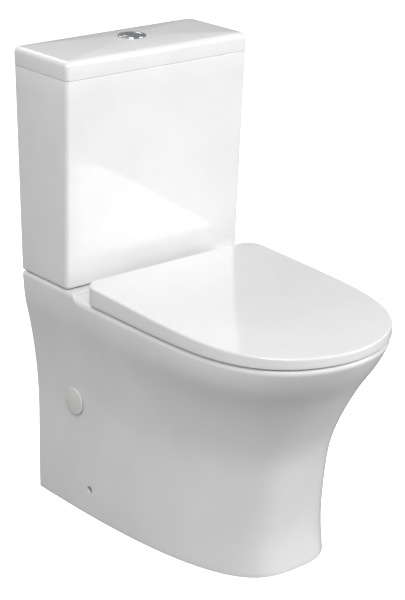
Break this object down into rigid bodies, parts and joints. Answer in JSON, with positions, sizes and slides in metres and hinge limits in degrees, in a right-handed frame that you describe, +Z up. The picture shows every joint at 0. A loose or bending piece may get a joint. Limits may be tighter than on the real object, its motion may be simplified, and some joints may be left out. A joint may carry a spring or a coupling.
{
  "type": "close coupled toilet",
  "caption": "Close coupled toilet with a shrouded flared pan, a tapered tank with dual flush button, and a wrap-over soft-close seat.",
  "frame": {"origin": "on the floor, at the middle of the outline in plan", "axes": "+Z up, +Y towards the wall behind the toilet, +X to the right of a person who faces the toilet"},
  "size_m": [0.3722, 0.645, 0.8178],
  "materials": {
    "vitreous_china": "white gloss glaze",
    "seat_plastic": "white gloss moulded urea plastic",
    "white_plastic": "moulded",
    "grey_plastic": "moulded",
    "blue_plastic": "moulded",
    "chrome": "polished plating",
    "steel": "bright zinc",
    "brass": "machined",
    "rubber": "matt",
    "buffer": "soft translucent"
  },
  "bodies": {
    "base": {"pan": "vitreous_china", "pan_bowl": "vitreous_china", "pan_trap": "vitreous_china", "pan_duct": "vitreous_china", "tank": "vitreous_china", "side_cap_left": "white_plastic", "side_cap_right": "white_plastic", "floor_bracket_left": "steel", "floor_bracket_right": "steel", "fixing_screw_left": "steel", "fixing_screw_right": "steel", "coupling_gasket": "rubber", "flush_valve_base": "grey_plastic", "flush_valve_backnut": "grey_plastic", "flush_valve_tower": "white_plastic", "fill_valve": "white_plastic", "fill_valve_washer": "rubber", "fill_valve_backnut": "white_plastic", "tank_bolt_left": "brass", "tank_bolt_right": "brass", "tank_bolt_washer_left": "rubber", "tank_bolt_washer_right": "rubber", "wing_nut_left": "brass", "wing_nut_right": "brass", "hinge_post_left": "chrome", "hinge_post_right": "chrome", "hinge_pin_left": "steel", "hinge_pin_right": "steel", "hinge_stud_left": "steel", "hinge_stud_right": "steel", "hinge_washer_left": "rubber", "hinge_washer_right": "rubber", "hinge_nut_left": "white_plastic", "hinge_nut_right": "white_plastic"},
    "seat": {"seat_ring": "seat_plastic", "ring_buffer_front_left": "buffer", "ring_buffer_front_right": "buffer", "ring_buffer_rear_left": "buffer", "ring_buffer_rear_right": "buffer"},
    "cover": {"seat_cover": "seat_plastic", "cover_buffer_left": "buffer", "cover_buffer_right": "buffer"},
    "tank_cover": {"tank_lid": "vitreous_china", "button_bezel": "chrome", "bezel_nut": "white_plastic"},
    "full_flush": {"full_flush_button": "chrome", "full_flush_rod": "white_plastic", "full_flush_spring": "steel"},
    "half_flush": {"half_flush_button": "chrome", "half_flush_rod": "white_plastic", "half_flush_spring": "steel"},
    "flush_seal_unit": {"flush_piston": "blue_plastic", "flush_seal": "rubber"},
    "float": {"fill_valve_float": "blue_plastic"}
  },
  "joints": [
    {"name": "seat_hinge", "type": "hinge", "parent": "base", "child": "seat", "pos_m": [0, 0.1335, 0.433], "axis": [-1, 0, 0], "range_deg": [0, 94]},
    {"name": "cover_hinge", "type": "hinge", "parent": "seat", "child": "cover", "pos_m": [0, 0.1335, 0.433], "axis": [1, 0, 0], "range_deg": [-94, 0]},
    {"name": "tank_lid_lift", "type": "slide", "parent": "base", "child": "tank_cover", "axis": [0, 0, 1], "range_m": [0, 0.16]},
    {"name": "full_flush_press", "type": "slide", "parent": "tank_cover", "child": "full_flush", "axis": [0, 0, -1], "range_m": [0, 0.006], "stiffness_N_per_m": 400, "springref_m": -0.008, "deforming": ["full_flush_spring"]},
    {"name": "half_flush_press", "type": "slide", "parent": "tank_cover", "child": "half_flush", "axis": [0, 0, -1], "range_m": [0, 0.006], "stiffness_N_per_m": 400, "springref_m": -0.008, "deforming": ["half_flush_spring"]},
    {"name": "flush_seal_lift", "type": "slide", "parent": "base", "child": "flush_seal_unit", "axis": [0, 0, 1], "range_m": [0, 0.018]},
    {"name": "float_rise", "type": "slide", "parent": "base", "child": "float", "axis": [0, 0, 1], "range_m": [0, 0.11]}
  ],
  "couplings": [
    {"joint": "flush_seal_lift", "follows": "full_flush_press", "ratio": 3}
  ]
}
